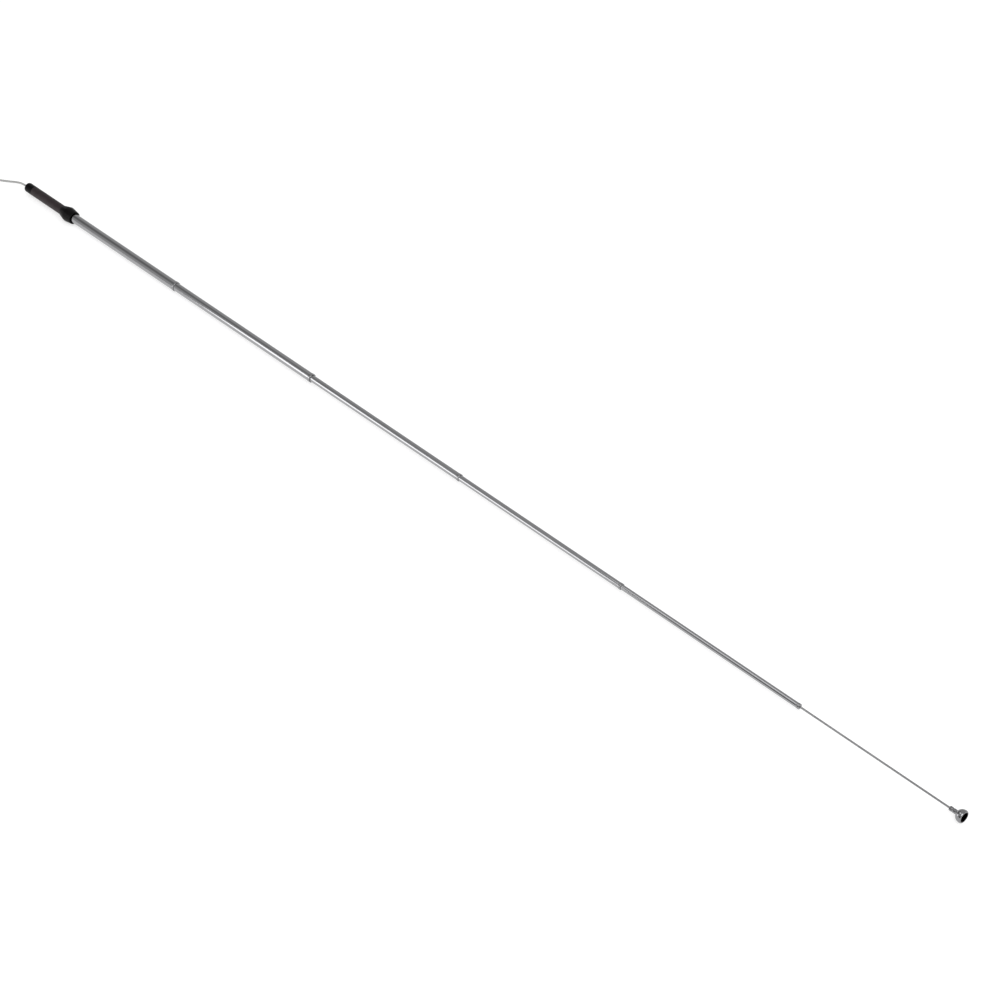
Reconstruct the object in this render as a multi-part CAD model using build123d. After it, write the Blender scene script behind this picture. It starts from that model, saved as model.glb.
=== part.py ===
from build123d import *
import os
from math import pi, radians, sqrt, tan

# Telescopic magnetic pickup tool, drawn out to its full length and lying level.
# +X runs along the tool from the tail to the magnet, +Z is up. The origin is under the middle of the
# tool, on the surface that it lies on. Millimetres.

# ---- Driving dimensions -------------------------------------------------------------------------
TOOL_LENGTH = 840.0  # tail face to magnet face, drawn out
DRAW = 139.0  # length of each inner tube that shows when it is drawn out
TUBE_1_END = -253.5  # front face of the outermost tube
NECK_START = 410.0  # rear face of the magnet cup's neck
WALL = 0.2  # wall of every tube
TUBE_RADII = [3.25, 2.9, 2.3, 1.97, 1.65]  # outer radii, outermost tube first
ROD_RADIUS = 0.6
RUNNING_GAP = 0.04  # radial gap of every sliding fit
SEAT_GAP = 0.02  # radial gap of every glued or pressed seat

GRIP_RADIUS = 3.4
CAP_END = -412.3  # where the tail cap's head ends and the grip sleeve starts
CAP_ROUND, SPIGOT_LENGTH, KNOT_RECESS = 1.2, 6.0, 2.35
COLLAR_START, COLLAR_PEAK, COLLAR_END = -378.9, -372.6, -366.0
COLLAR_REAR_RADIUS, COLLAR_RADIUS, COLLAR_FRONT_RADIUS = 3.7, 5.3, 4.4
COLLAR_FLATS = 12
FLAT_RADIUS = 5.1  # from the axis to each of the collar's flats
PEAK_WIDTH, COLLAR_ROUND = 0.5, 0.25
MOUTH_DEPTH, MOUTH_FLARE = 0.8, 0.5  # the collar's mouth opens out over this depth, by this much
AXIS_Z = FLAT_RADIUS  # the collar rests on one of its flats and carries the tool level

BEAD_LENGTH, BEAD_RISE, BEAD_ROUND = 2.0, 0.12, 0.3  # the rolled bead at a tube's front end
LIP_LENGTH = 1.2  # how far the bead's rolled-in lip reaches back
BUSH_LENGTH = 6.0
STOP_GAP = 0.2  # between a bush and the lip that stops it, drawn out
SHUT_GAP = 0.4  # between a bead and the tube behind it, pushed in
BUSH_SLIT = 1.0

NECK_RADIUS, NECK_CHAMFER = 1.4, 0.25
ROD_SEAT = 3.6  # how deep the rod goes into the neck
GROOVE_START, GROOVE_DEPTH = 1.6, 0.15  # the rolled groove that holds the rod, from the neck's rear
GROOVE_SLOPE, GROOVE_FLOOR = 0.3, 0.4
CUP_RADIUS, CUP_NOSE_RADIUS = 3.92, 3.5
CUP_PEAK, CUP_FACE = 418.5, 419.9  # where the dome is widest, and the front face
NOSE_ALONG, NOSE_OUT = 0.18, 0.14  # how far the nose's arc stands off the middle of its chord
CUP_BORE, CUP_FLOOR = 3.1, 417.4
MAGNET_RADIUS, MAGNET_ROUND, DISC_THICKNESS = 2.7, 0.15, 0.5
SPACER_SINK = 0.1  # how far the spacer ring sits under the cup's face

CORD = 1.6  # diameter of the lanyard cord
CORD_HOLE, CORD_HOLE_ROUND = 0.95, 0.5
KNOT_CLEARANCE = 0.1  # between the stopper knot and the floor of its recess
KNOT_RADIUS = 2.0
STOPPER_RADIUS, STOPPER_SINK = 1.95, 1.7  # the stopper knot, and its centre from its flat rear
# The cord's way from the stopper knot in the tail cap down to the surface and back to the hank.
LEAD = [
    (-415.4, 0.0, 5.1),
    (-421.4, 0.0, 5.1),
    (-428.4, -0.4, 4.75),
    (-435.4, -1.5, 2.6),
    (-441.8, -2.9, 0.8),
    (-447.4, -6.6, 0.8),
    (-454.5, -7.6, 0.8),
    (-461.5, -6.6, 0.8),
    (-468.0, -6.4, 0.8),
]
# Its way from the hank's far loop down to the knot at its end.
END = [
    (-490.0, -4.8, 2.4),
    (-496.5, -5.0, 2.4),
    (-502.5, -4.4, 0.5),
    (-508.6, -3.7, 1.7),
]
END_KNOT = (-510.2, -3.6, KNOT_RADIUS)
HANK_NEAR, HANK_FAR = -468.0, -490.0  # centres of the hank's two end loops
HANK_RADIUS, HANK_WAIST, HANK_HEIGHT = 7.2, 3.3, 3.2
HANK_LEAN = 0.35  # how far inside its end loops' centres the hank starts to draw in, as a share of their radius
TIE_WIDTH, TIE_THICKNESS, TIE_ROUND = 3.0, 0.45, 1.0
TIE_SQUEEZE = 0.25  # how much lower the turns are under the tie

# ---- Derived dimensions -------------------------------------------------------------------------
TAIL = -TOOL_LENGTH / 2
MAGNET_FACE = TOOL_LENGTH / 2
OVERLAP = LIP_LENGTH + STOP_GAP + BUSH_LENGTH  # how far a tube's rear reaches back into the next
TUBE_ENDS = [TUBE_1_END + DRAW * n for n in range(len(TUBE_RADII))]
TUBE_STARTS = [CAP_END] + [end - OVERLAP for end in TUBE_ENDS[:-1]]
ROD_START = TUBE_ENDS[-1] - OVERLAP
SLIDERS = TUBE_RADII[1:] + [ROD_RADIUS]  # what slides in each tube, outermost tube first
TUBE_TRAVEL = DRAW - BEAD_LENGTH - SHUT_GAP
ROD_TRAVEL = NECK_START - TUBE_ENDS[-1] - SHUT_GAP


# ---- Shapes that several pieces share -----------------------------------------------------------
def turned(outline):
    """A solid turned about the tool's axis from its half outline, as (x, radius) points."""
    face = make_face(Polyline(*outline, close=True))
    return Pos(0, 0, AXIS_Z) * revolve(face, axis=Axis.X)


def ring(start, end, inner, outer):
    """A plain turned ring or sleeve."""
    return turned([(start, inner), (end, inner), (end, outer), (start, outer)])


def edges_at(solid, x, radius):
    """The circular edges of a turned solid at one place along the axis and of one radius."""
    return [
        edge
        for edge in solid.edges().filter_by(GeomType.CIRCLE)
        if abs(edge.radius - radius) < 1e-3 and abs(edge.center().X - x) < 1e-3
    ]


def cord_tube(points, name):
    """The cord along a route of straight runs joined by the widest arcs that they allow."""
    corners = [Vector(*point) for point in points]
    runs = [after - before for before, after in zip(corners, corners[1:])]
    radii = []
    for before, after in zip(runs, runs[1:]):
        turn = radians(before.get_angle(after))
        radii.append(0.45 * min(before.length, after.length) / tan(turn / 2))
    path = FilletPolyline(*points, radius=radii)
    tube = sweep(Plane(origin=path @ 0, z_dir=path % 0) * Circle(CORD / 2), path=path)
    print(f"{name}: radii {[round(radius, 1) for radius in radii]}, length {path.length:.1f},")
    print(f"  volume {tube.volume:.2f} against {pi * CORD**2 / 4 * path.length:.2f}")
    return tube


# ---- Handle -------------------------------------------------------------------------------------
def make_tail_cap():
    """Moulded cap: a rounded head, a spigot glued into the tube, and a recess for the cord's knot."""
    spigot = TUBE_RADII[0] - WALL - SEAT_GAP
    spigot_end, recess_start = CAP_END + SPIGOT_LENGTH, LEAD[0][0] - KNOT_CLEARANCE
    cap = turned(
        [
            (TAIL, CORD_HOLE),
            (recess_start, CORD_HOLE),
            (recess_start, KNOT_RECESS),
            (spigot_end, KNOT_RECESS),
            (spigot_end, spigot),
            (CAP_END, spigot),
            (CAP_END, GRIP_RADIUS),
            (TAIL, GRIP_RADIUS),
        ]
    )
    cap = fillet(edges_at(cap, TAIL, GRIP_RADIUS), CAP_ROUND)
    return fillet(edges_at(cap, TAIL, CORD_HOLE), CORD_HOLE_ROUND)


def make_stopper_knot():
    """The knot inside the tail cap, which stops the cord from pulling out. Its rear is flat."""
    face, reach = LEAD[0][0], 3 * STOPPER_RADIUS
    ball = Pos(face + STOPPER_SINK, 0, AXIS_Z) * Sphere(STOPPER_RADIUS)
    return ball & (Pos(face + reach / 2, 0, AXIS_Z) * Box(reach, reach, reach))


def make_grip_sleeve():
    return ring(CAP_END, COLLAR_START, TUBE_RADII[0], GRIP_RADIUS)


def make_collar():
    """Moulded ring that swells from the grip to a peak with flats, so that the tool can't roll."""
    bore = TUBE_RADII[0] + SEAT_GAP
    swell = turned(
        [
            (COLLAR_START, bore),
            (COLLAR_END - MOUTH_DEPTH, bore),
            (COLLAR_END, bore + MOUTH_FLARE),
            (COLLAR_END, COLLAR_FRONT_RADIUS),
            (COLLAR_PEAK + PEAK_WIDTH / 2, COLLAR_RADIUS),
            (COLLAR_PEAK - PEAK_WIDTH / 2, COLLAR_RADIUS),
            (COLLAR_START, COLLAR_REAR_RADIUS),
        ]
    )
    flats = RegularPolygon(FLAT_RADIUS, COLLAR_FLATS, major_radius=False, rotation=180 / COLLAR_FLATS)
    prism = extrude(Plane.YZ.offset(COLLAR_START) * flats, amount=COLLAR_END - COLLAR_START)
    collar = swell & (Pos(0, 0, AXIS_Z) * prism)
    return fillet(edges_at(collar, COLLAR_END, COLLAR_FRONT_RADIUS), COLLAR_ROUND)


# ---- Telescopic tubes ---------------------------------------------------------------------------
def make_tube(index):
    """A thin drawn tube whose front end is swelled to a bead and rolled in round the next tube."""
    radius, start, end = TUBE_RADII[index], TUBE_STARTS[index], TUBE_ENDS[index]
    bore, lip, bead = radius - WALL, SLIDERS[index] + RUNNING_GAP, radius + BEAD_RISE
    tube = turned(
        [
            (start, bore),
            (end - LIP_LENGTH, bore),
            (end - LIP_LENGTH, lip),
            (end, lip),
            (end, bead),
            (end - BEAD_LENGTH + BEAD_RISE, bead),
            (end - BEAD_LENGTH, radius),
            (start, radius),
        ]
    )
    return fillet(edges_at(tube, end, bead), BEAD_ROUND)


def make_bush(index, start):
    """The slit brass bush that is crimped on a slider's rear end and rubs in the tube round it."""
    inner, outer = SLIDERS[index], TUBE_RADII[index] - WALL - RUNNING_GAP
    bush = ring(start, start + BUSH_LENGTH, inner, outer)
    slit = Pos(start + BUSH_LENGTH / 2, 0, AXIS_Z + outer) * Box(
        2 * BUSH_LENGTH, min(BUSH_SLIT, inner), 2 * outer
    )
    return bush - slit


# ---- Magnet end ---------------------------------------------------------------------------------
def make_rod():
    return ring(ROD_START, NECK_START + ROD_SEAT, 0, ROD_RADIUS)


def make_magnet_cup():
    """Turned cup: a neck crimped on the rod, a round dome and nose, and a bore for the magnet."""
    seat, seat_end = ROD_RADIUS + SEAT_GAP, NECK_START + ROD_SEAT
    nose_middle = ((CUP_PEAK + CUP_FACE) / 2 + NOSE_ALONG, (CUP_RADIUS + CUP_NOSE_RADIUS) / 2 + NOSE_OUT)
    dome_start = (CUP_PEAK - sqrt(CUP_RADIUS**2 - NECK_RADIUS**2), NECK_RADIUS)
    dome_middle = (CUP_PEAK - CUP_RADIUS * sqrt(0.5), CUP_RADIUS * sqrt(0.5))
    groove, groove_radius = NECK_START + GROOVE_START, NECK_RADIUS - GROOVE_DEPTH
    groove_end = groove + 2 * GROOVE_SLOPE + GROOVE_FLOOR
    outline = Polyline(
        (CUP_FACE, CUP_NOSE_RADIUS),
        (CUP_FACE, CUP_BORE),
        (CUP_FLOOR, CUP_BORE),
        (CUP_FLOOR, 0),
        (seat_end, 0),
        (seat_end, seat),
        (NECK_START, seat),
        (NECK_START, NECK_RADIUS - NECK_CHAMFER),
        (NECK_START + NECK_CHAMFER, NECK_RADIUS),
        (groove, NECK_RADIUS),
        (groove + GROOVE_SLOPE, groove_radius),
        (groove_end - GROOVE_SLOPE, groove_radius),
        (groove_end, NECK_RADIUS),
        dome_start,
    )
    dome = ThreePointArc(dome_start, dome_middle, (CUP_PEAK, CUP_RADIUS))
    nose = ThreePointArc((CUP_PEAK, CUP_RADIUS), nose_middle, (CUP_FACE, CUP_NOSE_RADIUS))
    face = make_face(outline.edges() + dome.edges() + nose.edges())
    return Pos(0, 0, AXIS_Z) * revolve(face, axis=Axis.X)


def make_backing_disc():
    return ring(CUP_FLOOR, CUP_FLOOR + DISC_THICKNESS, 0, CUP_BORE - SEAT_GAP)


def make_magnet():
    magnet = ring(CUP_FLOOR + DISC_THICKNESS, MAGNET_FACE, 0, MAGNET_RADIUS)
    return fillet(edges_at(magnet, MAGNET_FACE, MAGNET_RADIUS), MAGNET_ROUND)


def make_spacer_ring():
    """The ring that keeps the magnet's rim clear of the steel cup. It sits just under the face."""
    start, end = CUP_FLOOR + DISC_THICKNESS, CUP_FACE - SPACER_SINK
    return ring(start, end, MAGNET_RADIUS + SEAT_GAP, CUP_BORE - SEAT_GAP)


# ---- Lanyard ------------------------------------------------------------------------------------
def make_hank():
    """The outer shape of the folded cord: two end loops drawn in to a waist, with room for the tie."""
    middle = (HANK_NEAR + HANK_FAR) / 2
    lean = HANK_RADIUS * HANK_LEAN
    side = sqrt(HANK_RADIUS**2 - lean**2)
    outline = Polyline(
        (HANK_NEAR - lean, side),
        (middle, HANK_WAIST),
        (HANK_FAR + lean, side),
        (HANK_FAR + lean, -side),
        (middle, -HANK_WAIST),
        (HANK_NEAR - lean, -side),
        close=True,
    )
    loops = [Pos(x, 0) * Circle(HANK_RADIUS) for x in (HANK_NEAR, HANK_FAR)]
    hank = extrude(make_face(outline) + loops[0] + loops[1], amount=HANK_HEIGHT)
    return hank - tie_block(TIE_THICKNESS) + (hank & tie_block(0))


def tie_block(grow):
    """The space inside the hank's tie, or out to its surface where grow is the tie's thickness."""
    middle = (HANK_NEAR + HANK_FAR) / 2
    top = HANK_HEIGHT + TIE_THICKNESS - TIE_SQUEEZE
    low, high = TIE_THICKNESS - grow, top + grow
    return Pos(middle, 0, (low + high) / 2) * Box(TIE_WIDTH, 2 * (HANK_WAIST + grow), high - low)


def make_hank_tie():
    """A band round the hank's waist."""
    band = tie_block(TIE_THICKNESS) - tie_block(0)
    return fillet(tie_block(TIE_THICKNESS).edges().filter_by(Axis.X), TIE_ROUND) & band


def make_end_knot():
    return Pos(*END_KNOT) * Sphere(KNOT_RADIUS)


# ---- The tool -----------------------------------------------------------------------------------
def make_parts():
    parts = {
        "tail_cap": make_tail_cap(),
        "stopper_knot": make_stopper_knot(),
        "grip_sleeve": make_grip_sleeve(),
        "collar": make_collar(),
        "rod": make_rod(),
        "rod_bush": make_bush(len(TUBE_RADII) - 1, ROD_START),
        "magnet_cup": make_magnet_cup(),
        "backing_disc": make_backing_disc(),
        "magnet": make_magnet(),
        "spacer_ring": make_spacer_ring(),
        "lanyard_hank": make_hank(),
        "hank_tie": make_hank_tie(),
        "end_knot": make_end_knot(),
    }
    for index, start in enumerate(TUBE_STARTS):
        parts[f"tube_{index + 1}"] = make_tube(index)
        if index:
            parts[f"spring_bush_{index + 1}"] = make_bush(index - 1, start)
    parts["lanyard_cord"] = cord_tube(LEAD, "lanyard_cord") - parts["lanyard_hank"]
    parts["lanyard_end"] = cord_tube(END, "lanyard_end") - parts["lanyard_hank"] - parts["end_knot"]
    return parts


os.makedirs("parts", exist_ok=True)
for node, shape in make_parts().items():
    export_step(shape, f"parts/{node}.step")
print(f"tube ends {TUBE_ENDS}, tube starts {TUBE_STARTS}, rod start {ROD_START}")
print(f"tube travel {TUBE_TRAVEL}, rod travel {ROD_TRAVEL}")
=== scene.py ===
"""Looks of a telescopic magnetic pickup tool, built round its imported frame.

Every piece is modelled in millimetres, turned pieces about X, and then put in the frame in metres.
"""

import math

import bmesh
import bpy
from mathutils import Matrix, Vector


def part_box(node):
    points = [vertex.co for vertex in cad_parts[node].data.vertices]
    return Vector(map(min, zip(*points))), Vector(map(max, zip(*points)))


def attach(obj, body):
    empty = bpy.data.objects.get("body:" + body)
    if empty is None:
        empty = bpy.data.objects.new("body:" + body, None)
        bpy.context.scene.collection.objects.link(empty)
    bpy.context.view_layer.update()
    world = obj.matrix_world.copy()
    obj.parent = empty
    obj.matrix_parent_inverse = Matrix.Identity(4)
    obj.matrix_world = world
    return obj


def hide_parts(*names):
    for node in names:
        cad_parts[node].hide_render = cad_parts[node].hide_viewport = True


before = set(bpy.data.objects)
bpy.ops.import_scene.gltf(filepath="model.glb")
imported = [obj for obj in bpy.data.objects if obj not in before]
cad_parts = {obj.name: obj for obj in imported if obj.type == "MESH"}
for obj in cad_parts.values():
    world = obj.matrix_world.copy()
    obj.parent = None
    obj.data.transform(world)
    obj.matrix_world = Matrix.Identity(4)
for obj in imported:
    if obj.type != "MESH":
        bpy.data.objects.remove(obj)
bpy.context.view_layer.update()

bl_info = {
    "name": "Telescopic magnetic pickup tool",
    "version": (1, 0, 0),
    "blender": (4, 5, 0),
    "location": "View3D > Sidebar > Pickup Tool",
    "description": "Builds the tool's tubes, grip, collar, magnet head and lanyard round its frame",
    "category": "Add Mesh",
}

MM = 0.001
AROUND = 96  # steps in a full turn of a turned piece
COLLAR_AROUND = 144  # and of the collar, the widest piece
ROD_AROUND = 48  # and of the rod, the thinnest
SHARP = math.radians(32)  # edges that fold more than this stay sharp
SUPPORT = 0.35  # from each end of a long flat run to the ring that keeps its shading flat
SEAT = 0.02  # radial gap of every glued or pressed seat
WHITE = (1.0, 1.0, 1.0, 1.0)


def low(node):
    """The lowest corner of a frame node, in millimetres."""
    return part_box(node)[0] / MM


def high(node):
    """The highest corner of a frame node, in millimetres."""
    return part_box(node)[1] / MM


AXIS_Z = (low("tube_1").z + high("tube_1").z) / 2
TUBES = [f"tube_{n}" for n in range(1, 6)]
BUSHES = [f"spring_bush_{n}" for n in range(2, 6)] + ["rod_bush"]
TUBE_BODIES = ["handle", "section_2", "section_3", "section_4", "section_5"]

# The lanyard's way from the tail cap to its hank, and from the hank to its end, in millimetres.
LEAD = [
    (-415.4, 0.0, 5.1),
    (-421.4, 0.0, 5.1),
    (-428.4, -0.4, 4.75),
    (-435.4, -1.5, 2.6),
    (-441.8, -2.9, 0.8),
    (-447.4, -6.6, 0.8),
    (-454.5, -7.6, 0.8),
    (-461.5, -6.6, 0.8),
    (-468.0, -6.4, 0.8),
]
END = [
    (-490.0, -4.8, 2.4),
    (-496.5, -5.0, 2.4),
    (-502.5, -4.4, 0.9),
    (-506.2, -4.9, 1.2),
    (-508.8, -3.1, 2.1),
]


# ---- Colours and nodes --------------------------------------------------------------------------
def linear(colour):
    """An sRGB hex colour as linear red, green, blue and alpha."""
    values = [int(colour[i : i + 2], 16) / 255 for i in (0, 2, 4)]
    return [v / 12.92 if v <= 0.04045 else ((v + 0.055) / 1.055) ** 2.4 for v in values] + [1.0]


def add(tree, kind, inputs=None, **settings):
    """Adds a node with its settings. Each input takes a value or another node's output."""
    new = tree.nodes.new(kind)
    for name, value in settings.items():
        setattr(new, name, value)
    for key, value in (inputs or {}).items():
        if isinstance(value, bpy.types.NodeSocket):
            tree.links.new(value, new.inputs[key])
        else:
            new.inputs[key].default_value = value
    return new


def per(millimetres):
    """The scale that makes a noise pattern's features about that size on Object coordinates."""
    return 1 / (millimetres * MM)


def new_material(name, **shader_inputs):
    """A material with its Principled shader and Object coordinates: returns all four."""
    material = bpy.data.materials.new(name)
    material.use_nodes = True
    tree = material.node_tree
    tree.nodes.clear()
    values = {key.replace("_", " "): value for key, value in shader_inputs.items()}
    shader = add(tree, "ShaderNodeBsdfPrincipled", values)
    add(tree, "ShaderNodeOutputMaterial", {"Surface": shader.outputs["BSDF"]})
    place = add(tree, "ShaderNodeTexCoord").outputs["Object"]
    return material, tree, shader, place


def moulded_abs(colour):
    """Injection-moulded ABS from a lightly spark-eroded mould: satin, with a fine even grain."""
    material, tree, shader, place = new_material("moulded_abs", IOR=1.54, Specular_IOR_Level=0.08)
    # The mould's grain is about 0.05 mm. It is drawn at 0.22 mm so that it shows.
    grain = add(tree, "ShaderNodeTexNoise", {"Vector": place, "Scale": per(0.22), "Detail": 3.0})
    cloud = add(tree, "ShaderNodeTexNoise", {"Vector": place, "Scale": per(2.5), "Detail": 2.0})
    worn = [min(1.0, value * 1.5) for value in colour[:3]] + [1.0]
    tint = add(
        tree, "ShaderNodeMix", {0: cloud.outputs["Fac"], 6: colour, 7: worn}, data_type="RGBA"
    )
    gloss = add(
        tree,
        "ShaderNodeMapRange",
        {"Value": cloud.outputs["Fac"], "To Min": 0.3, "To Max": 0.44},
    )
    bump = add(
        tree,
        "ShaderNodeBump",
        {"Strength": 0.25, "Distance": 0.02 * MM, "Height": grain.outputs["Fac"]},
    )
    tree.links.new(tint.outputs[2], shader.inputs["Base Color"])
    tree.links.new(gloss.outputs["Result"], shader.inputs["Roughness"])
    tree.links.new(bump.outputs["Normal"], shader.inputs["Normal"])
    return material


def shrunk_vinyl(colour, light):
    """PVC sleeve shrunk on the tube: soft satin, with a leathery grain drawn out along the tool."""
    material, tree, shader, place = new_material("shrunk_vinyl", IOR=1.53, Specular_IOR_Level=0.2)
    stretch = add(tree, "ShaderNodeMapping", {"Vector": place, "Scale": (0.35, 1.0, 1.0)})
    # The grain of the sleeve is about 0.1 mm. It is drawn at 0.3 mm so that it shows.
    grain = add(
        tree,
        "ShaderNodeTexVoronoi",
        {"Vector": stretch.outputs["Vector"], "Scale": per(0.3)},
        feature="SMOOTH_F1",
    )
    cloud = add(tree, "ShaderNodeTexNoise", {"Vector": place, "Scale": per(4.0), "Detail": 4.0})
    handled = add(
        tree,
        "ShaderNodeMapRange",
        {"Value": cloud.outputs["Fac"], "From Min": 0.35, "From Max": 0.7},
    )
    tint = add(
        tree,
        "ShaderNodeMix",
        {0: handled.outputs["Result"], 6: colour, 7: light},
        data_type="RGBA",
    )
    gloss = add(
        tree,
        "ShaderNodeMapRange",
        {"Value": cloud.outputs["Fac"], "To Min": 0.42, "To Max": 0.6},
    )
    bump = add(
        tree,
        "ShaderNodeBump",
        {"Strength": 0.7, "Distance": 0.06 * MM, "Height": grain.outputs["Distance"]},
    )
    tree.links.new(tint.outputs[2], shader.inputs["Base Color"])
    tree.links.new(gloss.outputs["Result"], shader.inputs["Roughness"])
    tree.links.new(bump.outputs["Normal"], shader.inputs["Normal"])
    return material


def drawn_metal(name, colour, dull, roughness, line_width, depth):
    """Drawn metal: fine lines along the tool, left by the die, and slightly uneven gloss.

    The roughness is its least and its most. The lines' width and depth are in millimetres.
    """
    material, tree, shader, place = new_material(name, Metallic=1.0)
    along = add(tree, "ShaderNodeMapping", {"Vector": place, "Scale": (0.012, 1.0, 1.0)})
    lines = add(
        tree,
        "ShaderNodeTexNoise",
        {"Vector": along.outputs["Vector"], "Scale": per(line_width), "Detail": 3.0},
    )
    cloud = add(tree, "ShaderNodeTexNoise", {"Vector": place, "Scale": per(6.0), "Detail": 3.0})
    tint = add(
        tree, "ShaderNodeMix", {0: cloud.outputs["Fac"], 6: colour, 7: dull}, data_type="RGBA"
    )
    gloss = add(
        tree,
        "ShaderNodeMapRange",
        {"Value": lines.outputs["Fac"], "From Min": 0.3, "From Max": 0.7,
         "To Min": roughness[0], "To Max": roughness[1]},
    )
    bump = add(
        tree,
        "ShaderNodeBump",
        {"Strength": 0.3, "Distance": depth * MM, "Height": lines.outputs["Fac"]},
    )
    tree.links.new(tint.outputs[2], shader.inputs["Base Color"])
    tree.links.new(gloss.outputs["Result"], shader.inputs["Roughness"])
    tree.links.new(bump.outputs["Normal"], shader.inputs["Normal"])
    return material


def turned_metal(name, colour, dull, roughness, groove, depth, edge=WHITE):
    """Turned or rolled metal: fine rings round the tool, left by the cutting edge or the roller.

    The roughness is its least and its most. The rings' width and depth are in millimetres.
    """
    material, tree, shader, place = new_material(name, Metallic=1.0, Specular_Tint=edge)
    squash = add(tree, "ShaderNodeMapping", {"Vector": place, "Scale": (1.0, 0.02, 0.02)})
    rings = add(
        tree,
        "ShaderNodeTexNoise",
        {"Vector": squash.outputs["Vector"], "Scale": per(groove), "Detail": 2.0},
    )
    cloud = add(tree, "ShaderNodeTexNoise", {"Vector": place, "Scale": per(1.5), "Detail": 3.0})
    tint = add(
        tree, "ShaderNodeMix", {0: cloud.outputs["Fac"], 6: colour, 7: dull}, data_type="RGBA"
    )
    gloss = add(
        tree,
        "ShaderNodeMapRange",
        {"Value": cloud.outputs["Fac"], "From Min": 0.3, "From Max": 0.7,
         "To Min": roughness[0], "To Max": roughness[1]},
    )
    bump = add(
        tree,
        "ShaderNodeBump",
        {"Strength": 0.3, "Distance": depth * MM, "Height": rings.outputs["Fac"]},
    )
    tree.links.new(tint.outputs[2], shader.inputs["Base Color"])
    tree.links.new(gloss.outputs["Result"], shader.inputs["Roughness"])
    tree.links.new(bump.outputs["Normal"], shader.inputs["Normal"])
    return material


def braided_polyester(colour, shade):
    """Polyester yarn: soft and matt, with fine filaments and a little grey in random patches."""
    material, tree, shader, place = new_material(
        "braided_polyester", Roughness=0.78, IOR=1.57, Sheen_Weight=0.35, Sheen_Roughness=0.4
    )
    # The filaments are about 0.02 mm. They are drawn at 0.09 mm so that they show.
    filaments = add(
        tree, "ShaderNodeTexNoise", {"Vector": place, "Scale": per(0.09), "Detail": 3.0}
    )
    cloud = add(tree, "ShaderNodeTexNoise", {"Vector": place, "Scale": per(1.2), "Detail": 3.0})
    tint = add(
        tree, "ShaderNodeMix", {0: cloud.outputs["Fac"], 6: colour, 7: shade}, data_type="RGBA"
    )
    bump = add(
        tree,
        "ShaderNodeBump",
        {"Strength": 0.5, "Distance": 0.03 * MM, "Height": filaments.outputs["Fac"]},
    )
    tree.links.new(tint.outputs[2], shader.inputs["Base Color"])
    tree.links.new(bump.outputs["Normal"], shader.inputs["Normal"])
    return material


def matt_rubber(colour):
    """Natural rubber band, dusted with talc: matt, with pale dust in patches."""
    material, tree, shader, place = new_material("matt_rubber", Roughness=0.8, IOR=1.52)
    dust = add(tree, "ShaderNodeTexNoise", {"Vector": place, "Scale": per(0.5), "Detail": 5.0})
    patch = add(
        tree, "ShaderNodeMapRange", {"Value": dust.outputs["Fac"], "From Min": 0.5, "From Max": 0.8}
    )
    dusty = [value * 2 + 0.01 for value in colour[:3]] + [1.0]
    tint = add(
        tree, "ShaderNodeMix", {0: patch.outputs["Result"], 6: colour, 7: dusty}, data_type="RGBA"
    )
    bump = add(
        tree,
        "ShaderNodeBump",
        {"Strength": 0.3, "Distance": 0.02 * MM, "Height": dust.outputs["Fac"]},
    )
    tree.links.new(tint.outputs[2], shader.inputs["Base Color"])
    tree.links.new(bump.outputs["Normal"], shader.inputs["Normal"])
    return material


def light_table(colour, glow):
    """Matt opal acrylic of a light table, lit from below: white, with hardly any shadow on it."""
    material, tree, shader, place = new_material(
        "opal_acrylic", Roughness=0.9, IOR=1.49, Emission_Color=WHITE, Emission_Strength=glow
    )
    cloud = add(tree, "ShaderNodeTexNoise", {"Vector": place, "Scale": per(40.0), "Detail": 3.0})
    shade = [value * 0.985 for value in colour[:3]] + [1.0]
    tint = add(
        tree, "ShaderNodeMix", {0: cloud.outputs["Fac"], 6: colour, 7: shade}, data_type="RGBA"
    )
    tree.links.new(tint.outputs[2], shader.inputs["Base Color"])
    return material


# ---- Mesh helpers -------------------------------------------------------------------------------
def to_object(bm, name, place=None):
    """Turns a bmesh in millimetres into an object in the frame, with its place in its mesh."""
    if place is not None:
        bmesh.ops.transform(bm, matrix=place, verts=bm.verts)
    bmesh.ops.recalc_face_normals(bm, faces=bm.faces)
    for face in bm.faces:
        face.smooth = True
    for edge in bm.edges:
        edge.smooth = len(edge.link_faces) == 2 and edge.calc_face_angle(math.pi) < SHARP
    bmesh.ops.transform(bm, matrix=Matrix.Scale(MM, 4), verts=bm.verts)
    mesh = bpy.data.meshes.new(name)
    bm.to_mesh(mesh)
    bm.free()
    piece = bpy.data.objects.new(name, mesh)
    bpy.context.scene.collection.objects.link(piece)
    return piece


def place_piece(piece, body, nodes, slot, *materials):
    """Gives a piece its materials, its body and the frame nodes that it stands for. Its slot is not
    used.
    """
    for material in materials:
        piece.data.materials.append(material)
    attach(piece, body)
    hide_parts(*nodes)


def supported(outline):
    """The outline with a point near each end of its long runs, so that flat runs shade flat."""
    points = []
    for (x, r, rounding), (x2, r2, _) in zip(outline, outline[1:] + outline[:1]):
        points.append((x, r, rounding))
        length = math.hypot(x2 - x, r2 - r)
        if length > 3 * SUPPORT:
            for share in (SUPPORT / length, 1 - SUPPORT / length):
                points.append((x + (x2 - x) * share, r + (r2 - r) * share, 0))
    return points


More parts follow.
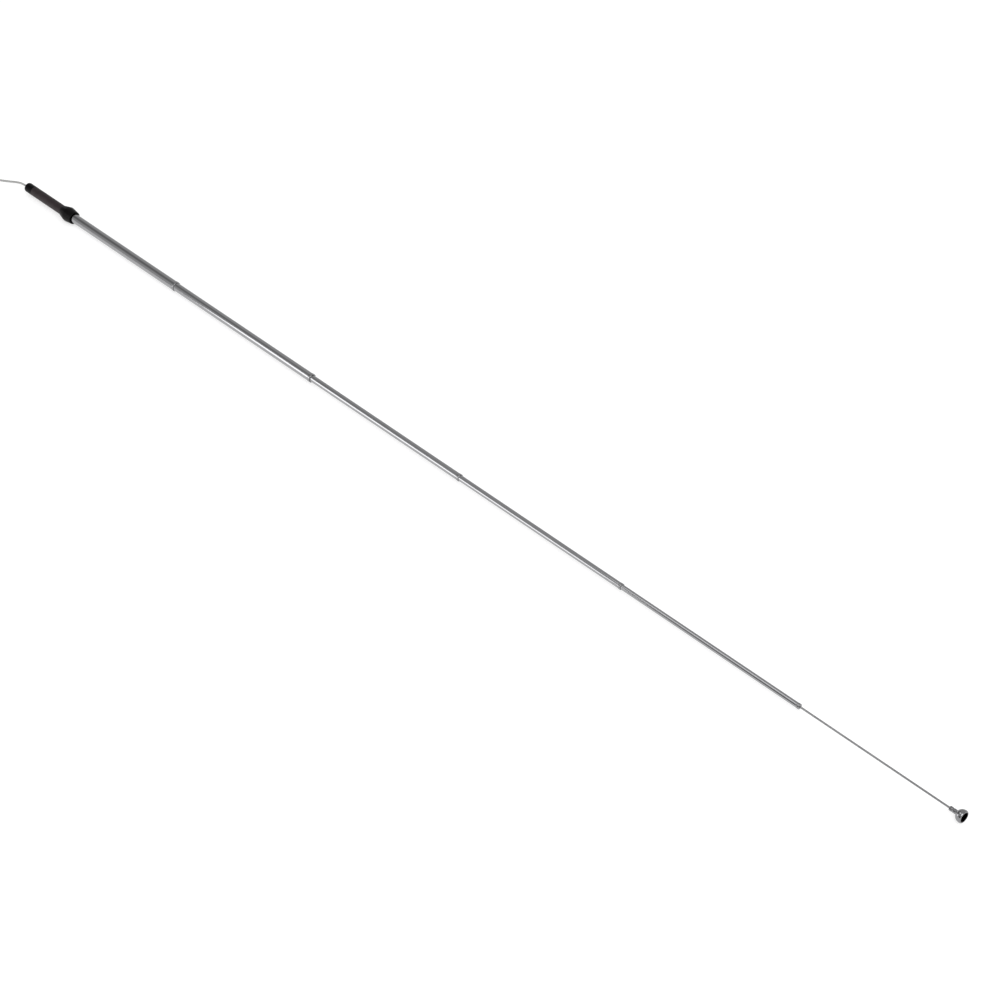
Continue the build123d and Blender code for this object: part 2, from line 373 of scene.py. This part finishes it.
def turned(outline, steps=AROUND):
    """A bmesh turned about X from a closed half outline of (x, radius, corner rounding) points."""
    bm = bmesh.new()
    points = supported(outline)
    corners = [bm.verts.new((x, 0, r)) for x, r, _ in points]
    edges = [bm.edges.new(pair) for pair in zip(corners, corners[1:] + corners[:1])]
    bmesh.ops.spin(
        bm,
        geom=corners + edges,
        cent=(0, 0, 0),
        axis=(1, 0, 0),
        dvec=(0, 0, 0),
        angle=2 * math.pi,
        steps=steps,
        use_merge=True,
    )
    bmesh.ops.remove_doubles(bm, verts=bm.verts, dist=1e-4)
    for rounding in sorted({r for _, _, r in outline if r}):
        rings = [(x, r) for x, r, wide in outline if wide == rounding]
        chosen = [edge for edge in bm.edges if on_ring(edge, rings)]
        bmesh.ops.bevel(
            bm,
            geom=chosen,
            offset=rounding,
            affect="EDGES",
            segments=4,
            profile=0.5,
            material=-1,
        )
    return bm


def on_ring(edge, rings):
    """True where the edge runs round the axis at one of the (x, radius) rings."""
    for vert in edge.verts:
        radius = math.hypot(vert.co.y, vert.co.z)
        if not any(abs(vert.co.x - x) < 1e-3 and abs(radius - r) < 1e-3 for x, r in rings):
            return False
    return True


def arc(start, end, bulge, steps):
    """Points of a shallow curved stretch between two outline points. Its bulge lies to the left."""
    (x1, r1), (x2, r2) = start, end
    length = math.hypot(x2 - x1, r2 - r1)
    normal = (-(r2 - r1) / length, (x2 - x1) / length)
    points = []
    for step in range(1, steps):
        share = step / steps
        rise = 4 * bulge * share * (1 - share)
        x = x1 + (x2 - x1) * share + normal[0] * rise
        r = r1 + (r2 - r1) * share + normal[1] * rise
        points.append((x, r, 0))
    return points


ON_AXIS = Matrix.Translation((0, 0, AXIS_Z))


# ---- Settings -----------------------------------------------------------------------------------
def size(name, text, default):
    """A length setting in metres, from millimetres."""
    return bpy.props.FloatProperty(
        name=name, description=text, default=default * MM, unit="LENGTH", precision=5
    )


def colour(name, text, default):
    """A colour setting from an sRGB hex value."""
    return bpy.props.FloatVectorProperty(
        name=name,
        description=text,
        default=linear(default),
        size=4,
        min=0.0,
        max=1.0,
        subtype="COLOR",
    )


class PickupTubeSettings(bpy.types.PropertyGroup):
    wall: size("Wall", "Wall thickness of every tube", 0.2)
    bead: size("Bead", "Length of the rolled bead at a tube's front", 2.0)
    rise: size("Bead rise", "How far the bead stands out of the tube", 0.12)
    lip: size("Lip", "How far the bead's rolled-in lip reaches back", 1.2)
    gap: size("Running gap", "Radial gap round the next section", 0.04)
    plate: colour("Plate", "Bright nickel-chrome plate", "a2a2a4")
    plate_dull: colour("Dull plate", "Plate in its duller patches", "98989a")
    bead_plate: colour("Bead plate", "Burnished plate on the beads", "929293")
    brass: colour("Brass", "Spring brass of the bushes", "c8a25c")


class PickupHandleSettings(bpy.types.PropertyGroup):
    cap_round: size("Cap round", "Rounding of the tail cap's rear rim", 1.15)
    hole: size("Cord hole", "Radius of the hole for the lanyard", 0.95)
    recess: size("Recess", "Radius of the recess for the stopper knot", 2.35)
    wall: size("Wall", "Wall thickness of the first tube", 0.2)
    bead_rise: size("Bead rise", "How far the first tube's bead stands out of it", 0.12)
    rear: size("Collar rear", "Radius of the collar where it meets the grip", 3.7)
    peak: size("Collar peak", "Radius of the collar's peak", 5.3)
    peak_at: size("Peak place", "How far the peak is from the collar's rear", 6.3)
    peak_width: size("Peak width", "Length of the collar's peak", 0.5)
    front: size("Collar front", "Radius of the collar's front", 4.4)
    mouth: size("Mouth", "Depth of the collar's flared mouth", 0.8)
    flare: size("Flare", "How much the mouth opens out", 0.5)
    black: colour("Moulded black", "Black ABS of the tail cap and collar", "050405")
    vinyl: colour("Vinyl", "Brownish black vinyl of the grip", "292224")
    vinyl_light: colour("Handled vinyl", "Vinyl where it has been handled", "322a2c")


class PickupHeadSettings(bpy.types.PropertyGroup):
    neck: size("Neck", "Radius of the neck that is crimped on the rod", 1.4)
    groove_at: size("Groove place", "How far the rolled groove is from the neck's rear", 1.6)
    groove_slope: size("Groove slope", "Length of each side of the groove", 0.3)
    groove_floor: size("Groove floor", "Length of the groove's floor", 0.4)
    groove_depth: size("Groove depth", "Depth of the groove", 0.15)
    nose: size("Nose", "Radius of the cup's front rim", 3.5)
    nose_length: size("Nose length", "From where the dome is widest to the front rim", 1.4)
    pocket: size("Pocket", "Radius of the pocket for the magnet", 3.1)
    pocket_depth: size("Pocket depth", "Depth of the pocket", 2.5)
    chrome: colour("Chrome", "Chrome plate of the cup", "8c8c8e")
    wire: colour("Wire", "Drawn spring wire of the rod", "9b9b9d")
    magnet: colour("Magnet", "Black nickel plate on the magnet", "1c1a1a")
    nylon: colour("Nylon", "Black nylon of the spacer ring", "1a1a1a")


class PickupCordSettings(bpy.types.PropertyGroup):
    diameter: size("Diameter", "Diameter of the braided cord", 1.6)
    length: size("Length", "Length of the cord with its stopper knot and its end", 265.0)
    cord: colour("Cord", "Pale grey polyester braid", "b0b0af")
    cord_shade: colour("Cord shade", "The braid in its greyer patches", "9c9c9b")
    rubber: colour("Tie", "Rubber band round the hank", "2a2727")


class PickupStageSettings(bpy.types.PropertyGroup):
    floor: colour("Floor", "Opal acrylic of the light table", "c8c8c8")
    glow: bpy.props.FloatProperty(
        name="Glow", description="Light that comes up through the table", default=0.62, min=0.0
    )
    azimuth: bpy.props.FloatProperty(
        name="Azimuth", description="Camera azimuth", default=math.radians(46.58), unit="ROTATION"
    )
    elevation: bpy.props.FloatProperty(
        name="Elevation", description="Camera height", default=math.radians(39.5), unit="ROTATION"
    )
    distance: size("Distance", "From the camera to the point that it looks at", 1723.3)
    look_x: size("Look at", "Where along the tool the camera looks", 59.61)
    look_up: size("Lift", "How far above the axis the camera looks, up its own frame", 2.91)
    lens: bpy.props.FloatProperty(
        name="Lens", description="Focal length on a 36 mm sensor", default=102.7, unit="CAMERA"
    )


# ---- Tubes --------------------------------------------------------------------------------------
class PickupTubes(bpy.types.Operator):
    """Builds the five nested tubes, each with its rolled bead, and finishes the bushes"""

    bl_idname = "pickup.tubes"
    bl_label = "Tubes"

    def execute(self, context):
        s = context.scene.pickup_tubes
        wall, bead, rise, lip, gap = (v / MM for v in (s.wall, s.bead, s.rise, s.lip, s.gap))
        plate = drawn_metal(
            "drawn_chrome_plate", list(s.plate), list(s.plate_dull), (0.05, 0.12), 0.18, 0.002
        )
        rolled = turned_metal(
            "rolled_bead_plate", list(s.bead_plate), list(s.plate_dull), (0.16, 0.3), 0.2, 0.01
        )
        radii = [high(tube).z - AXIS_Z - rise for tube in TUBES]
        sliders = radii[1:] + [high("rod").z - AXIS_Z]
        broken, lip_round, nose, shoulder, foot = 0.04, 0.06, 0.26, 0.09, 0.05
        for tube, body, radius, slider in zip(TUBES, TUBE_BODIES, radii, sliders):
            start, end = low(tube).x, high(tube).x
            inner, mouth, proud = radius - wall, slider + gap, radius + rise
            outline = [
                (start, inner, broken),
                (end - lip, inner, 0),
                (end - lip, mouth, 0),
                (end, mouth, lip_round),
                (end, proud, nose),
                (end - bead + rise, proud, shoulder),
                (end - bead, radius, foot),
                (start, radius, broken),
            ]
            bm = turned(outline)
            for face in bm.faces:
                face.material_index = int(face.calc_center_median().x > end - bead)
            piece = to_object(bm, f"{tube}_plated", ON_AXIS)
            place_piece(piece, body, [tube], "plated_tube", plate, rolled)
        brass = turned_metal(
            "spring_brass", list(s.brass), list(s.brass), (0.25, 0.4), 0.25, 0.01
        )
        for bush in BUSHES:
            dress(bush, brass)
        return {"FINISHED"}


def dress(node, material):
    """Gives a frame node that keeps its own shape a material."""
    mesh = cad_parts[node].data
    mesh.materials.clear()
    mesh.materials.append(material)


# ---- Handle -------------------------------------------------------------------------------------
class PickupHandle(bpy.types.Operator):
    """Builds the tail cap, the vinyl grip and the collar with its flats"""

    bl_idname = "pickup.handle"
    bl_label = "Handle"

    def execute(self, context):
        s = context.scene.pickup_handle
        abs_black = moulded_abs(list(s.black))
        vinyl = shrunk_vinyl(list(s.vinyl), list(s.vinyl_light))
        place_piece(tail_cap(s), "handle", ["tail_cap"], "moulded_black", abs_black)
        place_piece(grip_sleeve(s), "handle", ["grip_sleeve"], "grip_vinyl", vinyl)
        place_piece(collar(s), "handle", ["collar"], "moulded_black", abs_black)
        return {"FINISHED"}


def tail_cap(s):
    """A rounded head, eased where the sleeve starts, and a spigot inside the tube."""
    knot_room, hole_mouth, chamfer, lead_in, broken = 0.1, 0.3, 0.12, 0.15, 0.04
    start, head_end, end = low("tail_cap").x, low("grip_sleeve").x, high("tail_cap").x
    recess_start = low("stopper_knot").x - knot_room
    radius = high("grip_sleeve").z - AXIS_Z
    hole, recess = s.hole / MM, s.recess / MM
    spigot = high("tube_1").z - AXIS_Z - s.bead_rise / MM - s.wall / MM - SEAT
    rim = s.cap_round / MM
    turns = [math.radians(degrees) for degrees in range(0, 91, 10)]
    rounded = [
        (start + rim * (1 - math.sin(turn)), radius - rim * (1 - math.cos(turn)), 0)
        for turn in turns
    ]
    bm = turned(
        [
            (start, hole, hole_mouth),
            (recess_start, hole, 0),
            (recess_start, recess, 0),
            (end, recess, 0),
            (end, spigot, lead_in),
            (head_end, spigot, 0),
            (head_end, radius - chamfer, 0),
            (head_end - chamfer, radius, broken),
            *rounded,
        ]
    )
    return to_object(bm, "tail_cap_moulded", ON_AXIS)


def grip_sleeve(s):
    """The sleeve over the first tube, drawn in a little where it shrank over its ends."""
    drawn_in, taper, broken = 0.05, 0.6, 0.03
    start, end = low("grip_sleeve").x, high("grip_sleeve").x
    outer = high("grip_sleeve").z - AXIS_Z
    inner = high("tube_1").z - AXIS_Z - s.bead_rise / MM
    bm = turned(
        [
            (start, inner, 0),
            (end, inner, 0),
            (end, outer - drawn_in, broken),
            (end - taper, outer, 0),
            (start + taper, outer, 0),
            (start, outer - drawn_in, broken),
        ]
    )
    return to_object(bm, "grip_sleeve_vinyl", ON_AXIS)


def collar(s):
    """The swelled ring: a rear cone, a sharp peak with flats, and a flared mouth."""
    flats, bore_round, mouth_round, front_round, rear_round = 12, 0.06, 0.05, 0.22, 0.12
    start, end = low("collar").x, high("collar").x
    bore = high("tube_1").z - AXIS_Z - s.bead_rise / MM + SEAT
    peak, half_width = start + s.peak_at / MM, s.peak_width / MM / 2
    bm = turned(
        [
            (start, bore, bore_round),
            (end - s.mouth / MM, bore, 0),
            (end, bore + s.flare / MM, mouth_round),
            (end, s.front / MM, front_round),
            (peak + half_width, s.peak / MM, 0),
            (peak - half_width, s.peak / MM, 0),
            (start, s.rear / MM, rear_round),
        ],
        steps=COLLAR_AROUND,
    )
    # The first flat faces straight down. Each is as far from the axis as the floor is.
    for flat in range(flats):
        angle = 2 * math.pi * flat / flats - math.pi / 2
        outward = Vector((0, math.cos(angle), math.sin(angle)))
        cut = bmesh.ops.bisect_plane(
            bm,
            geom=bm.verts[:] + bm.edges[:] + bm.faces[:],
            dist=1e-5,
            plane_co=outward * AXIS_Z,
            plane_no=outward,
            clear_outer=True,
        )
        rim = [item for item in cut["geom_cut"] if isinstance(item, bmesh.types.BMEdge)]
        if rim:
            bmesh.ops.edgeloop_fill(bm, edges=rim)
    bmesh.ops.remove_doubles(bm, verts=bm.verts, dist=1e-3)
    return to_object(bm, "collar_moulded", ON_AXIS)


# ---- Magnet end ---------------------------------------------------------------------------------
class PickupHead(bpy.types.Operator):
    """Builds the rod, the cup, the magnet and the spacer ring"""

    bl_idname = "pickup.head"
    bl_label = "Magnet head"

    def execute(self, context):
        s = context.scene.pickup_head
        wire = drawn_metal(
            "drawn_spring_wire", list(s.wire), list(s.wire), (0.22, 0.34), 0.12, 0.003
        )
        chrome = turned_metal(
            "turned_chrome_plate", list(s.chrome), list(s.chrome), (0.05, 0.1), 0.15, 0.001
        )
        # The edge colour keeps the plate dark at a low angle, where a plain metal turns pale.
        nickel = turned_metal(
            "black_nickel_plate", list(s.magnet), list(s.magnet), (0.12, 0.22), 0.3, 0.004,
            edge=linear("404040"),
        )
        place_piece(rod(), "magnet_rod", ["rod"], "spring_wire", wire)
        place_piece(magnet_cup(s), "magnet_rod", ["magnet_cup"], "cup_chrome", chrome)
        place_piece(magnet(), "magnet_rod", ["magnet"], "magnet_nickel", nickel)
        nylon = moulded_abs(list(s.nylon))
        place_piece(spacer(), "magnet_rod", ["spacer_ring"], "spacer_nylon", nylon)
        dress("backing_disc", wire)
        return {"FINISHED"}


def rod():
    """The drawn wire, with both of its hidden ends rounded a little."""
    rear_round, front_round = 0.12, 0.1
    start, end, radius = low("rod").x, high("rod").x, high("rod").z - AXIS_Z
    bm = turned(
        [(start, 0, 0), (end, 0, 0), (end, radius, front_round), (start, radius, rear_round)],
        steps=ROD_AROUND,
    )
    return to_object(bm, "rod_wire", ON_AXIS)


def magnet_cup(s):
    """The turned cup: neck with its rolled groove, dome, round nose and the magnet's pocket."""
    neck_round, groove_round, dome_foot, nose_bulge, broken = 0.22, 0.08, 0.12, 0.22, 0.05
    start, face, widest = low("magnet_cup").x, high("magnet_cup").x, high("magnet_cup").z - AXIS_Z
    neck, nose, pocket = s.neck / MM, s.nose / MM, s.pocket / MM
    floor, peak = face - s.pocket_depth / MM, face - s.nose_length / MM
    seat, seat_end = high("rod").z - AXIS_Z + SEAT, high("rod").x
    groove, slope = start + s.groove_at / MM, s.groove_slope / MM
    hollow = neck - s.groove_depth / MM
    groove_end = groove + 2 * slope + s.groove_floor / MM
    dome = [math.radians(degrees) for degrees in range(24, 90, 6)]
    outline = [
        (floor, 0, 0),
        (seat_end, 0, 0),
        (seat_end, seat, 0),
        (start, seat, broken),
        (start, neck, neck_round),
        (groove, neck, groove_round),
        (groove + slope, hollow, groove_round),
        (groove_end - slope, hollow, groove_round),
        (groove_end, neck, groove_round),
        (peak - math.sqrt(widest**2 - neck**2), neck, dome_foot),
    ]
    outline += [(peak - widest * math.cos(turn), widest * math.sin(turn), 0) for turn in dome]
    outline += [(peak, widest, 0)]
    outline += arc((peak, widest), (face, nose), nose_bulge, 8)
    outline += [(face, nose, broken), (face, pocket, broken), (floor, pocket, 0)]
    return to_object(turned(outline), "magnet_cup_chrome", ON_AXIS)


def magnet():
    """The disc magnet, with the rounded rim of a plated magnet."""
    rim = 0.15
    start, end, radius = low("magnet").x, high("magnet").x, high("magnet").z - AXIS_Z
    bm = turned([(start, 0, 0), (end, 0, 0), (end, radius, rim), (start, radius, rim)])
    return to_object(bm, "magnet_nickel", ON_AXIS)


def spacer():
    """The nylon ring round the magnet."""
    broken = 0.04
    start, end, outer = low("spacer_ring").x, high("spacer_ring").x, high("spacer_ring").z - AXIS_Z
    inner = high("magnet").z - AXIS_Z + SEAT
    bm = turned([(start, inner, 0), (end, inner, broken), (end, outer, broken), (start, outer, 0)])
    return to_object(bm, "spacer_ring_nylon", ON_AXIS)


# ---- Lanyard ------------------------------------------------------------------------------------
class PickupLanyard(bpy.types.Operator):
    """Builds the braided lanyard, its folded hank, the band round it and its end knot"""

    bl_idname = "pickup.lanyard"
    bl_label = "Lanyard"

    def execute(self, context):
        s = context.scene.pickup_cord
        diameter = s.diameter / MM
        pulled_tight = 0.9  # the knot's cord is squeezed thinner
        braid = braided_polyester(list(s.cord), list(s.cord_shade))
        line = smooth_line("lanyard_line", LEAD + hank_turns() + END)
        cord = braided(line, "lanyard", diameter / 2)
        knot_line = smooth_line("knot_line", overhand_knot())
        knot = braided(knot_line, "end_knot_braid", diameter / 2 * pulled_tight)
        band = tie_band()
        place_piece(
            cord, "handle", ["lanyard_cord", "lanyard_hank", "lanyard_end"], "cord", braid
        )
        place_piece(knot, "handle", ["end_knot"], "cord", braid)
        place_piece(band, "handle", ["hank_tie"], "tie_rubber", matt_rubber(list(s.rubber)))
        dress("stopper_knot", braid)
        return {"FINISHED"}


def hank_turns():
    """Control points of the cord's folded turns, wound through two end loops and a waist.

    The last pass goes over the others at the waist, towards the cord's end.
    """
    near, far = LEAD[-1][0], END[0][0]
    middle, step = (near + far) / 2, math.radians(35)
    waist_half, waist_z, lead, narrowing = 2.2, 1.25, 2.6, 0.92
    points = []
    # Each pass: its loop's centre, its side on the way in, the loop's radius and height, and how
    # far to the side it passes the waist.
    passes = [
        (far, -1, 6.4, 0.8, 2.4),
        (near, 1, 5.9, 0.8, 2.4),
        (far, -1, 4.8, 0.8, 0.8),
        (near, 1, 5.0, 2.4, 0.8),
    ]
    for centre, side, radius, z, waist_y in passes:
        way = 1 if centre == near else -1
        for x in (middle - way * waist_half, middle + way * waist_half):
            points.append((x, side * waist_y, waist_z))
        lead_x, lead_y = centre - way * lead, side * radius * narrowing
        points.append((lead_x, lead_y, (z + waist_z) / 2))
        reach = radius / math.cos(step / 2)
        for n in range(-2, 3):
            turn = n * step
            points.append(
                (centre + way * reach * math.cos(turn), -side * reach * math.sin(turn), z)
            )
        points.append((lead_x, -lead_y, z))
    for x in (middle + waist_half, middle - waist_half):
        points.append((x, -1.6, 2.64))
    points.append((far + 4.6, -3.9, 2.45))
    return points


def smooth_line(name, route):
    """Points along the smooth line whose control points are the route, from a bare curve."""
    curve = bpy.data.curves.new(name, "CURVE")
    curve.dimensions = "3D"
    curve.resolution_u = 24
    spline = curve.splines.new("NURBS")
    spline.points.add(len(route) - 1)
    for point, place in zip(spline.points, route):
        point.co = (*place, 1.0)
    spline.order_u = 3
    spline.use_endpoint_u = True
    bare = bpy.data.objects.new(name, curve)
    mesh = bpy.data.meshes.new_from_object(bare)
    points = [vertex.co.copy() for vertex in mesh.vertices]
    bpy.data.meshes.remove(mesh)
    bpy.data.objects.remove(bare)
    bpy.data.curves.remove(curve)
    return points


def evenly(line, step):
    """The line again with points a step apart."""
    spots, left = [line[0].copy()], step
    for a, b in zip(line, line[1:]):
        length = (b - a).length
        while length >= left and length > 0:
            a = a.lerp(b, left / length)
            spots.append(a.copy())
            length = (b - a).length
            left = step
        left -= length
    return spots


def braided(line, name, radius):
    """A braid along a line: six yarns wind each way over a core, and wave in and out as they go."""
    yarns, pitch, step = 6, 6.5 * radius, 0.29
    yarn_radius, weave = 0.29 * radius, 0.1 * radius
    offset = 0.25  # of the space between two yarns, how far round each way's yarns start
    sunk = 0.3  # of a yarn's radius, how far the yarns sink into the core
    spots = evenly(line, step)
    across = frames(spots)
    curve = bpy.data.curves.new(name, "CURVE")
    curve.dimensions = "3D"
    curve.bevel_depth = yarn_radius
    curve.bevel_resolution = 1
    curve.use_fill_caps = True
    middle = radius - yarn_radius - weave
    for way in (1, -1):
        for yarn in range(yarns):
            spline = curve.splines.new("POLY")
            spline.points.add(len(spots) - 1)
            for n, (spot, (side, up)) in enumerate(zip(spots, across)):
                turn = 2 * math.pi * n * step / pitch
                angle = way * turn + 2 * math.pi * (yarn + offset * way) / yarns
                wave = way * weave * math.cos(yarns * turn + math.pi * yarn)
                out = side * math.cos(angle) + up * math.sin(angle)
                spline.points[n].co = (*(spot + out * (middle + wave)), 1.0)
    core = curve.splines.new("POLY")
    core.points.add(len(spots) - 1)
    for point, spot in zip(core.points, spots):
        point.co = (*spot, 1.0)
        point.radius = (middle - yarn_radius * sunk) / yarn_radius
    made = bpy.data.objects.new(name, curve)
    mesh = bpy.data.meshes.new_from_object(made)
    bpy.data.objects.remove(made)
    bpy.data.curves.remove(curve)
    bm = bmesh.new()
    bm.from_mesh(mesh)
    bpy.data.meshes.remove(mesh)
    return to_object(bm, name)


def frames(spots):
    """Two directions across the line at each spot, carried along it without twisting."""
    way = (spots[1] - spots[0]).normalized()
    side = way.cross(Vector((0, 0, 1))).normalized()
    found = []
    for n, spot in enumerate(spots):
        after = spots[min(n + 1, len(spots) - 1)]
        before = spots[max(n - 1, 0)]
        now = (after - before).normalized()
        side = (way.rotation_difference(now) @ side).normalized()
        side = (side - now * side.dot(now)).normalized()
        way = now
        found.append((side, now.cross(side)))
    return found


def overhand_knot():
    """Control points of the overhand knot at the cord's end: it starts where the cord ends.

    An overhand knot is a trefoil that is cut open: here on its outside, by a small gap.
    """
    scale, steps, gap = 0.66, 30, 0.35
    heart, swing = Vector((-509.8, -4.0, 1.39)), Matrix.Rotation(-math.pi / 6, 3, "Z")
    start, whole = math.pi / 3 + gap, 2 * math.pi - 2 * gap
    points = []
    for n in range(steps + 1):
        t = start + whole * n / steps
        trefoil = Vector(
            (
                math.sin(t) + 2 * math.sin(2 * t),
                math.cos(t) - 2 * math.cos(2 * t),
                -math.sin(3 * t),
            )
        )
        points.append(tuple(heart + scale * (swing @ trefoil)))
    return points


def tie_band():
    """Three turns of a flat rubber band round the hank's waist."""
    turns, width, thickness = 3, 0.92, 0.4
    corner, edge_round, inset = 1.05, 0.1, 0.05
    lowest, highest = low("hank_tie"), high("hank_tie")
    middle = (lowest + highest) / 2
    tall, wide = highest.z - lowest.z - inset, highest.y - lowest.y - inset
    bm = bmesh.new()
    for turn in range(turns):
        x = middle.x + (turn - (turns - 1) / 2) * (highest.x - lowest.x - width) / (turns - 1)
        one = bmesh.new()
        bmesh.ops.create_grid(one, x_segments=1, y_segments=1, size=0.5)
        bmesh.ops.scale(one, vec=(tall, wide, 1), verts=one.verts)
        bmesh.ops.bevel(
            one,
            geom=one.verts[:],
            offset=corner,
            affect="VERTICES",
            segments=7,
            profile=0.5,
            material=-1,
        )
        flat = one.faces[:]
        grown = bmesh.ops.extrude_face_region(one, geom=flat)
        top = [item for item in grown["geom"] if isinstance(item, bmesh.types.BMVert)]
        bmesh.ops.translate(one, vec=(0, 0, width), verts=top)
        caps = [face for face in one.faces if abs(face.normal.z) > 0.5]
        bmesh.ops.delete(one, geom=caps, context="FACES_ONLY")
        bmesh.ops.recalc_face_normals(one, faces=one.faces)
        bmesh.ops.solidify(one, geom=one.faces[:], thickness=thickness)
        bmesh.ops.rotate(
            one, cent=(0, 0, 0), matrix=Matrix.Rotation(math.pi / 2, 3, "Y"), verts=one.verts
        )
        bmesh.ops.translate(one, vec=(x - width / 2, middle.y, middle.z), verts=one.verts)
        mesh = bpy.data.meshes.new("band_turn")
        one.to_mesh(mesh)
        one.free()
        bm.from_mesh(mesh)
        bpy.data.meshes.remove(mesh)
    square = [edge for edge in bm.edges if edge.calc_face_angle(0) > math.radians(60)]
    bmesh.ops.bevel(
        bm, geom=square, offset=edge_round, affect="EDGES", segments=3, profile=0.5, material=-1
    )
    return to_object(bm, "hank_tie_band")


# ---- Stage --------------------------------------------------------------------------------------
HALF_FLOOR = 6000  # half the side of the light table, in millimetres
SENSOR = 36  # width of the camera's sensor, in millimetres
FAR = 50  # how far the camera sees, in metres
WALLS = 0.62  # brightness of the soft room's walls
BACKDROP = 1.0  # brightness of the plain backdrop that the camera sees instead
# The room's dark places: which way each lies, the cosines of the angles from there at which it
# begins and is full, and its brightness.
DARK_PLACES = [
    ((-0.85, -0.1, 0.52), 0.88, 0.98, 0.25),
    ((-0.2, -0.95, 0.22), 0.92, 0.965, 0.03),
]


class PickupStage(bpy.types.Operator):
    """Sets the camera, the pale floor and the soft lights"""

    bl_idname = "pickup.stage"
    bl_label = "Stage"

    def execute(self, context):
        s = context.scene.pickup_stage
        camera(s)
        floor(s)
        lights()
        context.scene.view_settings.view_transform = "Standard"
        return {"FINISHED"}


def camera(s):
    """The camera, turned about the tool by its azimuth and height."""
    back = Vector(
        (
            math.sin(s.azimuth) * math.cos(s.elevation),
            -math.cos(s.azimuth) * math.cos(s.elevation),
            math.sin(s.elevation),
        )
    )
    turn = back.to_track_quat("Z", "Y")
    target = Vector((s.look_x, 0, AXIS_Z * MM)) + turn @ Vector((0, s.look_up, 0))
    lens = bpy.data.cameras.new("camera")
    lens.lens = s.lens
    lens.sensor_width = SENSOR
    lens.clip_end = FAR
    viewer = bpy.data.objects.new("camera", lens)
    viewer.rotation_mode = "QUATERNION"
    viewer.rotation_quaternion = turn
    viewer.location = target + back * s.distance
    bpy.context.scene.collection.objects.link(viewer)
    bpy.context.scene.camera = viewer


def floor(s):
    """The light table that the tool lies on."""
    bm = bmesh.new()
    bmesh.ops.create_grid(bm, x_segments=8, y_segments=8, size=HALF_FLOOR)
    board = to_object(bm, "floor")
    board.data.materials.append(light_table(list(s.floor), s.glow))


def panel(name, spot, aim, width, height, radiance):
    """A soft light panel of one size and brightness, facing a point. Places are in millimetres."""
    light = bpy.data.lights.new(name, "AREA")
    light.shape = "RECTANGLE"
    light.size, light.size_y = width * MM, height * MM
    light.energy = radiance * math.pi * light.size * light.size_y
    lamp = bpy.data.objects.new(name, light)
    lamp.location = Vector(spot) * MM
    away = Vector(spot) - Vector(aim)
    lamp.rotation_mode = "QUATERNION"
    lamp.rotation_quaternion = away.to_track_quat("Z", "Y")
    lamp.visible_camera = False
    bpy.context.scene.collection.objects.link(lamp)


def lights():
    """A key at the front right, a panel at the left, one overhead, and a soft room all round.

    The camera sees a plain pale backdrop in place of the room.
    """
    panel("key", (1500, -600, 1500), (0, 0, 0), 1300, 1300, 3.0)
    panel("side_panel", (-540, -700, 190), (-60, 0, 5), 460, 420, 2.5)
    panel("small_ceiling_panel", (-110, -190, 700), (-110, -190, 0), 330, 240, 1.7)
    world = bpy.data.worlds.new("soft_room")
    world.use_nodes = True
    bpy.context.scene.world = world
    tree = world.node_tree
    tree.nodes.clear()
    way = add(tree, "ShaderNodeTexCoord").outputs["Generated"]
    strength = WALLS
    for aim, start, end, level in DARK_PLACES:
        toward = add(
            tree,
            "ShaderNodeVectorMath",
            {0: way, 1: Vector(aim).normalized()},
            operation="DOT_PRODUCT",
        )
        strength = add(
            tree,
            "ShaderNodeMapRange",
            {"Value": toward.outputs["Value"], "From Min": start, "From Max": end,
             "To Min": strength, "To Max": level},
            interpolation_type="SMOOTHSTEP",
        ).outputs["Result"]
    walls = add(tree, "ShaderNodeBackground", {"Color": WHITE, "Strength": strength})
    backdrop = add(tree, "ShaderNodeBackground", {"Color": WHITE, "Strength": BACKDROP})
    seen = add(
        tree,
        "ShaderNodeMixShader",
        {
            0: add(tree, "ShaderNodeLightPath").outputs["Is Camera Ray"],
            1: walls.outputs["Background"],
            2: backdrop.outputs["Background"],
        },
    )
    add(tree, "ShaderNodeOutputWorld", {"Surface": seen.outputs["Shader"]})


# ---- Panel and registration ---------------------------------------------------------------------
OPERATORS = (PickupStage, PickupLanyard, PickupTubes, PickupHandle, PickupHead)
SETTINGS = {
    "pickup_tubes": PickupTubeSettings,
    "pickup_handle": PickupHandleSettings,
    "pickup_head": PickupHeadSettings,
    "pickup_cord": PickupCordSettings,
    "pickup_stage": PickupStageSettings,
}


class PickupPanel(bpy.types.Panel):
    """Lists the tool's operators"""

    bl_idname = "VIEW3D_PT_pickup_tool"
    bl_label = "Pickup Tool"
    bl_space_type = "VIEW_3D"
    bl_region_type = "UI"
    bl_category = "Pickup Tool"

    def draw(self, context):
        for operator in OPERATORS:
            self.layout.operator(operator.bl_idname)


def register():
    for kind in (*SETTINGS.values(), *OPERATORS, PickupPanel):
        bpy.utils.register_class(kind)
    for name, kind in SETTINGS.items():
        setattr(bpy.types.Scene, name, bpy.props.PointerProperty(type=kind))


def unregister():
    for name in SETTINGS:
        delattr(bpy.types.Scene, name)
    for kind in reversed((*SETTINGS.values(), *OPERATORS, PickupPanel)):
        bpy.utils.unregister_class(kind)


def main():
    register()
    bpy.ops.pickup.stage()
    bpy.ops.pickup.lanyard()
    bpy.ops.pickup.tubes()
    bpy.ops.pickup.handle()
    bpy.ops.pickup.head()


if __name__ == "__main__":
    main()
